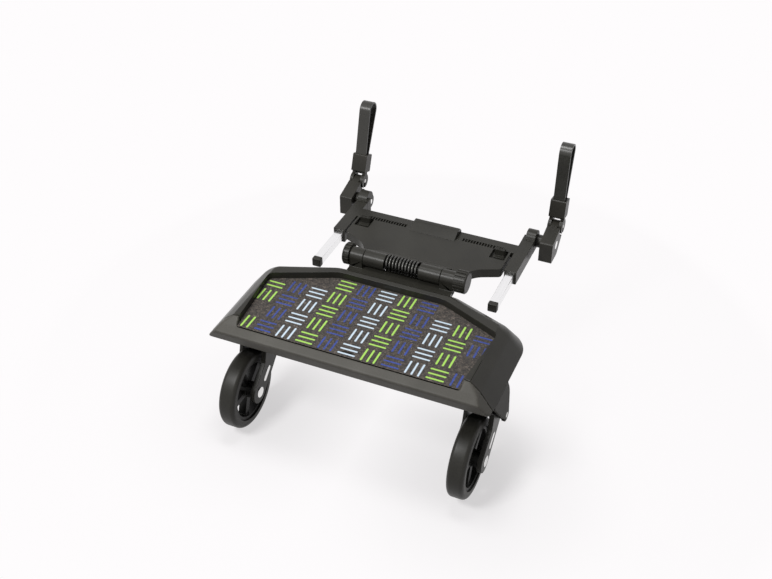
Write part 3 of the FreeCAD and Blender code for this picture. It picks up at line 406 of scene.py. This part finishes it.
def socketed(node, slot, edge_mm, wall_mm, depth_mm):
    """Stands for a set of screws: the same screws with a round drive socket in each head."""
    mesh = merged_copy(node)
    form = bmesh.new()
    form.from_mesh(mesh)
    lowest = min(v.co.z for v in form.verts)
    heads = [f for f in form.faces if f.calc_center_median().z < lowest + HEAD_WITHIN]
    bmesh.ops.inset_individual(form, faces=heads, thickness=wall_mm * MM, use_even_offset=True)
    sockets = bmesh.ops.extrude_discrete_faces(form, faces=heads)["faces"]
    for socket in sockets:
        bmesh.ops.translate(form, verts=socket.verts, vec=(0.0, 0.0, depth_mm * MM))
    form.to_mesh(mesh)
    form.free()
    mark_edges(mesh)
    shown(mesh, node, slot, edge_mm)


def shown(mesh, node, slot, edge_mm):
    """A piece that stands for a node and rounds its marked edges."""
    mesh.materials.append(FINISHES[slot])
    piece = linked(node + "_rounded", mesh)
    edges = piece.modifiers.new("edge_radius", "BEVEL")
    edges.width = edge_mm * MM
    edges.segments = EDGE_STEPS
    edges.limit_method = "WEIGHT"
    edges.use_clamp_overlap = False
    edges.harden_normals = True
    edges.miter_outer = "MITER_ARC"
    stands_for(piece, node)


def kept(node, slot):
    """A node whose own shape shows as it is, in its better finish."""
    for place in nodes[node].material_slots:
        place.material = FINISHES[slot]


def new_tree(name):
    """An empty Geometry Nodes tree with a mesh coming in and a mesh going out."""
    tree = bpy.data.node_groups.new(name, "GeometryNodeTree")
    tree.interface.new_socket("Sheet", in_out="INPUT", socket_type="NodeSocketGeometry")
    tree.interface.new_socket("Geometry", in_out="OUTPUT", socket_type="NodeSocketGeometry")
    return tree


def named_input(tree, name, kind, value):
    """A named size of a tree."""
    socket = tree.interface.new_socket(name, in_out="INPUT", socket_type=kind)
    socket.default_value = value
    return socket.identifier


def grown(tree, name, base_mesh, sizes, body):
    """Runs a tree on a mesh and keeps the result as a plain mesh that rides on one body."""
    holder = linked(name + "_source", base_mesh)
    modifier = holder.modifiers.new("tree", "NODES")
    modifier.node_group = tree
    for identifier, value in sizes.items():
        modifier[identifier] = value
    piece = linked(name, plain_mesh(holder, name))
    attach(piece, body)


def sheet_top():
    """The top face of the grip sheet alone, for what is printed and bonded on it."""
    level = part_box("grip_mat")[1].z - SHEET_WITHIN
    top = bmesh.new()
    top.from_mesh(nodes["grip_mat"].data)
    bmesh.ops.remove_doubles(top, verts=top.verts, dist=JOIN_WITHIN)
    lower = [f for f in top.faces if f.normal.z < SHEET_UPRIGHT or f.calc_center_median().z < level]
    bmesh.ops.delete(top, geom=lower, context="FACES")
    mesh = bpy.data.meshes.new("grip_sheet_top")
    top.to_mesh(mesh)
    top.free()
    return mesh


def weave_tree():
    """Printed basket weave: square cells of three round-ended bars, each cell turned from the next.
    A bar is printed only where the whole of it lies on the sheet."""
    tree = new_tree("printed_weave")
    named_input(tree, "Cell", "NodeSocketFloat", WEAVE_CELL)
    named_input(tree, "Bar length", "NodeSocketFloat", BAR_LENGTH)
    named_input(tree, "Bar width", "NodeSocketFloat", BAR_WIDTH)
    named_input(tree, "Bar pitch", "NodeSocketFloat", BAR_PITCH)
    named_input(tree, "Thickness", "NodeSocketFloat", PRINT_THICKNESS)
    centre = named_input(tree, "Centre", "NodeSocketVector", (0.0, 0.0, 0.0))
    named_input(tree, "Cells each way", "NodeSocketInt", WEAVE_CELLS)
    given = add(tree, "NodeGroupInput").outputs
    span = add(tree, "ShaderNodeMath", {0: given["Cells each way"], 1: 1.0}, operation="SUBTRACT")
    side = add(tree, "ShaderNodeMath", {0: span.outputs[0], 1: given["Cell"]}, operation="MULTIPLY")
    cells = add(tree, "GeometryNodeMeshGrid", {
        "Size X": side.outputs[0], "Size Y": side.outputs[0],
        "Vertices X": given["Cells each way"], "Vertices Y": given["Cells each way"]})
    spot = add(tree, "GeometryNodeInputPosition")
    each = add(tree, "ShaderNodeCombineXYZ", {"X": given["Cell"], "Y": given["Cell"], "Z": 1.0})
    step = add(tree, "ShaderNodeVectorMath", {0: spot.outputs[0], 1: each.outputs[0]}, operation="DIVIDE")
    whole = add(tree, "ShaderNodeVectorMath", {0: step.outputs[0], 1: CELL_ROUNDING}, operation="ADD")
    level = add(tree, "ShaderNodeVectorMath", {0: whole.outputs[0]}, operation="FLOOR")
    column = add(tree, "ShaderNodeSeparateXYZ", {0: level.outputs[0]})
    diagonal = add(tree, "ShaderNodeMath", {0: column.outputs[0], 1: column.outputs[1]}, operation="ADD")
    shifted = add(tree, "ShaderNodeMath", {0: diagonal.outputs[0], 1: EVEN_SHIFT}, operation="ADD")
    turn = add(tree, "ShaderNodeMath", {0: shifted.outputs[0], 1: 2.0}, operation="MODULO")
    band = add(tree, "ShaderNodeMath", {0: column.outputs[0], 1: EVEN_SHIFT}, operation="ADD")
    ink = add(tree, "ShaderNodeMath", {0: band.outputs[0], 1: 3.0}, operation="MODULO")
    turned = add(tree, "GeometryNodeStoreNamedAttribute", {
        "Geometry": cells.outputs["Mesh"], "Name": "turn", "Value": turn.outputs[0]},
        data_type="FLOAT", domain="POINT")
    inked = add(tree, "GeometryNodeStoreNamedAttribute", {
        "Geometry": turned.outputs["Geometry"], "Name": "ink", "Value": ink.outputs[0]},
        data_type="FLOAT", domain="POINT")
    placed = add(tree, "GeometryNodeTransform", {
        "Geometry": inked.outputs["Geometry"], "Translation": given["Centre"]})
    apart = add(tree, "ShaderNodeCombineXYZ", {"Y": given["Bar pitch"]})
    row = add(tree, "GeometryNodeMeshLine", {"Count": BARS_PER_CELL, "Offset": apart.outputs[0]})
    half_row = add(tree, "ShaderNodeVectorMath", {
        0: apart.outputs[0], "Scale": -0.5 * (BARS_PER_CELL - 1)}, operation="SCALE")
    centred = add(tree, "GeometryNodeTransform", {
        "Geometry": row.outputs["Mesh"], "Translation": half_row.outputs[0]})
    way = add(tree, "GeometryNodeInputNamedAttribute", {"Name": "turn"}, data_type="FLOAT")
    quarter = add(tree, "ShaderNodeMath", {0: way.outputs["Attribute"], 1: math.pi / 2}, operation="MULTIPLY")
    spin = add(tree, "ShaderNodeCombineXYZ", {"Z": quarter.outputs[0]})
    trios = add(tree, "GeometryNodeInstanceOnPoints", {
        "Points": placed.outputs["Geometry"], "Instance": centred.outputs["Geometry"],
        "Rotation": spin.outputs[0]})
    bars = add(tree, "GeometryNodeRealizeInstances", {"Geometry": trios.outputs["Instances"]})
    reach = add(tree, "ShaderNodeMath", {0: given["Bar length"], 1: 0.5}, operation="MULTIPLY")
    across = add(tree, "ShaderNodeCombineXYZ", {"X": reach.outputs[0]})
    aimed = add(tree, "ShaderNodeVectorRotate", {"Vector": across.outputs[0], "Angle": quarter.outputs[0]},
                rotation_type="Z_AXIS")
    on_sheet = []
    for along in BAR_PROBES:
        end = add(tree, "ShaderNodeVectorMath", {0: aimed.outputs[0], "Scale": along}, operation="SCALE")
        here = add(tree, "ShaderNodeVectorMath", {0: spot.outputs[0], 1: end.outputs[0]}, operation="ADD")
        above = add(tree, "ShaderNodeVectorMath", {
            0: here.outputs[0], 1: (0.0, 0.0, PROBE_UP)}, operation="ADD")
        look = add(tree, "GeometryNodeRaycast", {
            "Target Geometry": given["Sheet"], "Source Position": above.outputs[0],
            "Ray Direction": (0.0, 0.0, -1.0), "Ray Length": PROBE_REACH})
        on_sheet.append(look.outputs["Is Hit"])
    whole_bar = on_sheet[0]
    for hit in on_sheet[1:]:
        both = add(tree, "FunctionNodeBooleanMath", {0: whole_bar, 1: hit}, operation="AND")
        whole_bar = both.outputs[0]
    bar = add(tree, "GeometryNodeMeshCylinder", {"Vertices": BAR_CORNERS, "Depth": given["Thickness"]})
    end_radius = add(tree, "ShaderNodeMath", {0: given["Bar width"], 1: 0.5}, operation="MULTIPLY")
    tree.links.new(end_radius.outputs[0], bar.inputs["Radius"])
    offset_turn = add(tree, "GeometryNodeTransform", {
        "Geometry": bar.outputs["Mesh"], "Rotation": (0.0, 0.0, math.pi / BAR_CORNERS)})
    straight = add(tree, "ShaderNodeMath", {
        0: reach.outputs[0], 1: end_radius.outputs[0]}, operation="SUBTRACT")
    corner = add(tree, "ShaderNodeSeparateXYZ", {0: spot.outputs[0]})
    half = add(tree, "ShaderNodeMath", {0: corner.outputs[0]}, operation="SIGN")
    pull = add(tree, "ShaderNodeMath", {0: half.outputs[0], 1: straight.outputs[0]}, operation="MULTIPLY")
    drawn_out = add(tree, "ShaderNodeCombineXYZ", {"X": pull.outputs[0]})
    long_bar = add(tree, "GeometryNodeSetPosition", {
        "Geometry": offset_turn.outputs["Geometry"], "Offset": drawn_out.outputs[0]})
    colour = add(tree, "GeometryNodeInputNamedAttribute", {"Name": "ink"}, data_type="FLOAT")
    together = add(tree, "GeometryNodeJoinGeometry")
    for number, finish in enumerate(INKS):
        same = add(tree, "FunctionNodeCompare", {
            0: colour.outputs["Attribute"], 1: float(number), "Epsilon": 0.1},
            data_type="FLOAT", operation="EQUAL")
        chosen = add(tree, "FunctionNodeBooleanMath", {0: whole_bar, 1: same.outputs[0]}, operation="AND")
        printed = add(tree, "GeometryNodeInstanceOnPoints", {
            "Points": bars.outputs["Geometry"], "Selection": chosen.outputs[0],
            "Instance": long_bar.outputs["Geometry"], "Rotation": spin.outputs[0]})
        solid = add(tree, "GeometryNodeRealizeInstances", {"Geometry": printed.outputs["Instances"]})
        coated = add(tree, "GeometryNodeSetMaterial", {
            "Geometry": solid.outputs["Geometry"], "Material": finish})
        tree.links.new(coated.outputs["Geometry"], together.inputs["Geometry"])
    add(tree, "NodeGroupOutput", {"Geometry": together.outputs["Geometry"]})
    return tree, centre


def grit_tree():
    """Loose grains of grit over the sheet, each a small faceted stone with its own size, turn and tone."""
    tree = new_tree("bonded_grit")
    named_input(tree, "Grain size", "NodeSocketFloat", GRIT_SIZE)
    named_input(tree, "Grains per square metre", "NodeSocketFloat", GRIT_PER_SQUARE_METRE)
    seed = named_input(tree, "Seed", "NodeSocketInt", GRIT_SEED)
    given = add(tree, "NodeGroupInput").outputs
    spread = add(tree, "GeometryNodeDistributePointsOnFaces", {
        "Mesh": given["Sheet"], "Density": given["Grains per square metre"], "Seed": given["Seed"]})
    radius = add(tree, "ShaderNodeMath", {0: given["Grain size"], 1: 0.5}, operation="MULTIPLY")
    stone = add(tree, "GeometryNodeMeshIcoSphere", {"Radius": radius.outputs[0], "Subdivisions": 1})
    squat = add(tree, "GeometryNodeTransform", {"Geometry": stone.outputs["Mesh"], "Scale": GRAIN_SHAPE})
    size = add(tree, "FunctionNodeRandomValue", {
        2: GRAIN_LEAST, 3: 1.0, "Seed": given["Seed"]}, data_type="FLOAT")
    turn = add(tree, "FunctionNodeRandomValue", {
        0: (-GRAIN_TILT, -GRAIN_TILT, 0.0), 1: (GRAIN_TILT, GRAIN_TILT, math.tau),
        "Seed": given["Seed"]}, data_type="FLOAT_VECTOR")
    tone = add(tree, "FunctionNodeRandomValue", {"Seed": given["Seed"]}, data_type="FLOAT")
    stones = add(tree, "GeometryNodeInstanceOnPoints", {
        "Points": spread.outputs["Points"], "Instance": squat.outputs["Geometry"],
        "Rotation": turn.outputs[0], "Scale": size.outputs[1]})
    toned = add(tree, "GeometryNodeStoreNamedAttribute", {
        "Geometry": stones.outputs["Instances"], "Name": "grain_tone", "Value": tone.outputs[1]},
        data_type="FLOAT", domain="INSTANCE")
    solid = add(tree, "GeometryNodeRealizeInstances", {"Geometry": toned.outputs["Geometry"]})
    coated = add(tree, "GeometryNodeSetMaterial", {
        "Geometry": solid.outputs["Geometry"], "Material": GRAIN_FINISH})
    add(tree, "NodeGroupOutput", {"Geometry": coated.outputs["Geometry"]})
    return tree, seed


def dress_grip_sheet():
    """The grip sheet with its bonded grit and its printed weave."""
    rounded("grip_mat", "grip_mat", 0.4)
    low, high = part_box("grip_mat")
    middle = (low + high) / 2
    tree, centre = weave_tree()
    place = (middle.x, middle.y, high.z)
    grown(tree, "grip_sheet_print", sheet_top(), {centre: place}, "platform")
    tree, seed = grit_tree()
    grown(tree, "grip_sheet_grit", sheet_top(), {seed: GRIT_SEED}, "platform")


def make_camera():
    """The photograph's viewing angle."""
    lens = bpy.data.cameras.new("photo_view")
    lens.sensor_width = CAMERA_SENSOR_MM
    lens.lens = CAMERA_LENS_MM
    camera = bpy.data.objects.new("photo_view", lens)
    camera.location = CAMERA_PLACE
    camera.rotation_euler = (math.radians(CAMERA_TILT_DEG), 0.0, math.radians(CAMERA_TURN_DEG))
    bpy.context.collection.objects.link(camera)
    bpy.context.scene.camera = camera


def seen_directly(tree):
    """One where a surface is seen by the camera, in a mirror or through glass. Nought where it lights."""
    path = add(tree, "ShaderNodeLightPath")
    straight = add(tree, "ShaderNodeMath", {
        0: path.outputs["Is Camera Ray"], 1: path.outputs["Is Glossy Ray"]}, operation="MAXIMUM")
    return add(tree, "ShaderNodeMath", {
        0: straight.outputs[0], 1: path.outputs["Is Transmission Ray"]}, operation="MAXIMUM").outputs[0]


def make_floor():
    """A pale studio floor that shows the object's soft shadow near it and runs out to white."""
    disc = bmesh.new()
    bmesh.ops.create_circle(disc, cap_ends=True, radius=FLOOR_RADIUS, segments=FLOOR_CORNERS)
    mesh = bpy.data.meshes.new("studio_floor")
    disc.to_mesh(mesh)
    disc.free()
    material = bpy.data.materials.new("studio paper, white")
    material.use_nodes = True
    tree = material.node_tree
    tree.nodes.clear()
    seen = seen_directly(tree)
    shade = add(tree, "ShaderNodeMix", {
        0: seen, 6: linear(PAPER_GIVEN), 7: linear(PAPER_SEEN)}, data_type="RGBA")
    paper = add(tree, "ShaderNodeBsdfDiffuse", {"Color": shade.outputs[2]})
    glow = add(tree, "ShaderNodeEmission", {"Color": linear(SEEN_WHITE), "Strength": 1.0})
    place = add(tree, "ShaderNodeTexCoord").outputs["Object"]
    left, right = [
        add(tree, "ShaderNodeVectorMath", {0: place, 1: wheel}, operation="DISTANCE")
        for wheel in WHEEL_PLACES]
    nearest = add(tree, "ShaderNodeMath", {
        0: left.outputs["Value"], 1: right.outputs["Value"]}, operation="MINIMUM")
    spread = add(tree, "ShaderNodeMapRange", {
        "Value": nearest.outputs[0], "From Min": SHADOW_NEAR, "From Max": SHADOW_FAR,
        "To Min": 1.0 - SHADOW_SHOWN_NEAR, "To Max": 1.0 - SHADOW_SHOWN_FAR}, interpolation_type="SMOOTHSTEP")
    away = add(tree, "ShaderNodeVectorMath", {0: place}, operation="LENGTH")
    ending = add(tree, "ShaderNodeMapRange", {
        "Value": away.outputs["Value"], "From Min": SHADOW_FAR, "From Max": SHADOW_END},
        interpolation_type="SMOOTHSTEP")
    fade = add(tree, "ShaderNodeMath", {
        0: spread.outputs["Result"], 1: ending.outputs["Result"]}, operation="MAXIMUM")
    share = add(tree, "ShaderNodeMath", {0: seen, 1: fade.outputs[0]}, operation="MULTIPLY")
    both = add(tree, "ShaderNodeMixShader", {
        0: share.outputs[0], 1: paper.outputs[0], 2: glow.outputs[0]})
    add(tree, "ShaderNodeOutputMaterial", {"Surface": both.outputs[0]})
    mesh.materials.append(material)
    linked("studio_floor", mesh)


def make_sky():
    """White surroundings: plain white where they are seen, softer where they light the object."""
    world = bpy.data.worlds.new("studio_white")
    world.use_nodes = True
    tree = world.node_tree
    tree.nodes.clear()
    soft = add(tree, "ShaderNodeBackground", {"Color": linear("#ffffff"), "Strength": SKY_LEVEL})
    white = add(tree, "ShaderNodeBackground", {"Color": linear(SEEN_WHITE), "Strength": 1.0})
    both = add(tree, "ShaderNodeMixShader", {0: seen_directly(tree), 1: soft.outputs[0], 2: white.outputs[0]})
    add(tree, "ShaderNodeOutputWorld", {"Surface": both.outputs[0]})
    bpy.context.scene.world = world


def soft_box(name, place, watts):
    """A square soft lamp that looks at the middle of the object."""
    lamp = bpy.data.lights.new(name, "AREA")
    lamp.shape = "SQUARE"
    lamp.size = LAMP_SIDE
    lamp.energy = watts
    holder = bpy.data.objects.new(name, lamp)
    holder.location = place
    holder.rotation_euler = (Vector(LAMP_AIM) - Vector(place)).to_track_quat("-Z", "Y").to_euler()
    bpy.context.collection.objects.link(holder)


# Node, finish and edge radius in millimetres of each moulding that is rounded
for name, slot, edge in (
    ("platform_tray", "tray_plastic", 0.7),
    ("chassis_body", "chassis_plastic", 0.6),
    ("chassis_base", "chassis_plastic", 0.5),
    ("centre_cover", "chassis_plastic", 0.5),
):
    rounded(name, slot, edge)
for side in SIDES:
    for name, slot, edge in (
        ("wheel_bracket", "bracket_plastic", 0.7),
        ("fork", "fork_plastic", 0.7),
        ("wheel_rim", "rim_plastic", 0.5),
        ("tyre", "tyre_rubber", 0.6),
        ("axle_caps", "pale_plastic", 0.4),
        ("leg_inlays", "pale_plastic", 0.3),
        ("hinge_knob", "knob_plastic", 0.3),
        ("extension_arm", "chassis_plastic", 0.5),
        ("lock_slider", "knob_plastic", 0.3),
        ("reach_rod", "rod_aluminium", 0.6),
        ("rod_end_cap", "cap_plastic", 0.3),
        ("rod_head", "chassis_plastic", 0.6),
        ("buckle", "connector_plastic", 0.35),
        ("strap", "strap_rubber", 0.4),
    ):
        rounded(name + "_" + side, slot, edge)
    for name, slot in (
        ("fork_pin", "steel"),
        ("fork_buffer", "buffer_rubber"),
        ("wheel_axle", "steel"),
        ("pivot_bolt", "pale_plastic"),
        ("connector", "connector_plastic"),
        ("strap_pin", "steel"),
    ):
        kept(name + "_" + side, slot)
for name, slot in (
    ("hinge_pin", "steel"),
    ("spring_core", "knob_plastic"),
    ("hinge_spring", "spring_steel"),
):
    kept(name, slot)
# Node, finish, edge radius, and wall and depth of the drive socket in millimetres
socketed("base_screws", "steel", 0.25, 1.1, 1.2)
socketed("bracket_screws", "steel", 0.3, 1.5, 1.6)
softened("front_nosing", "nosing_plastic", NOSING_GRID, NOSING_ROUNDS)
dress_grip_sheet()

make_camera()
make_floor()
make_sky()
soft_box("key_soft_box", KEY_PLACE, KEY_WATTS)
soft_box("top_soft_box", TOP_PLACE, TOP_WATTS)
bpy.context.scene.view_settings.view_transform = "Standard"
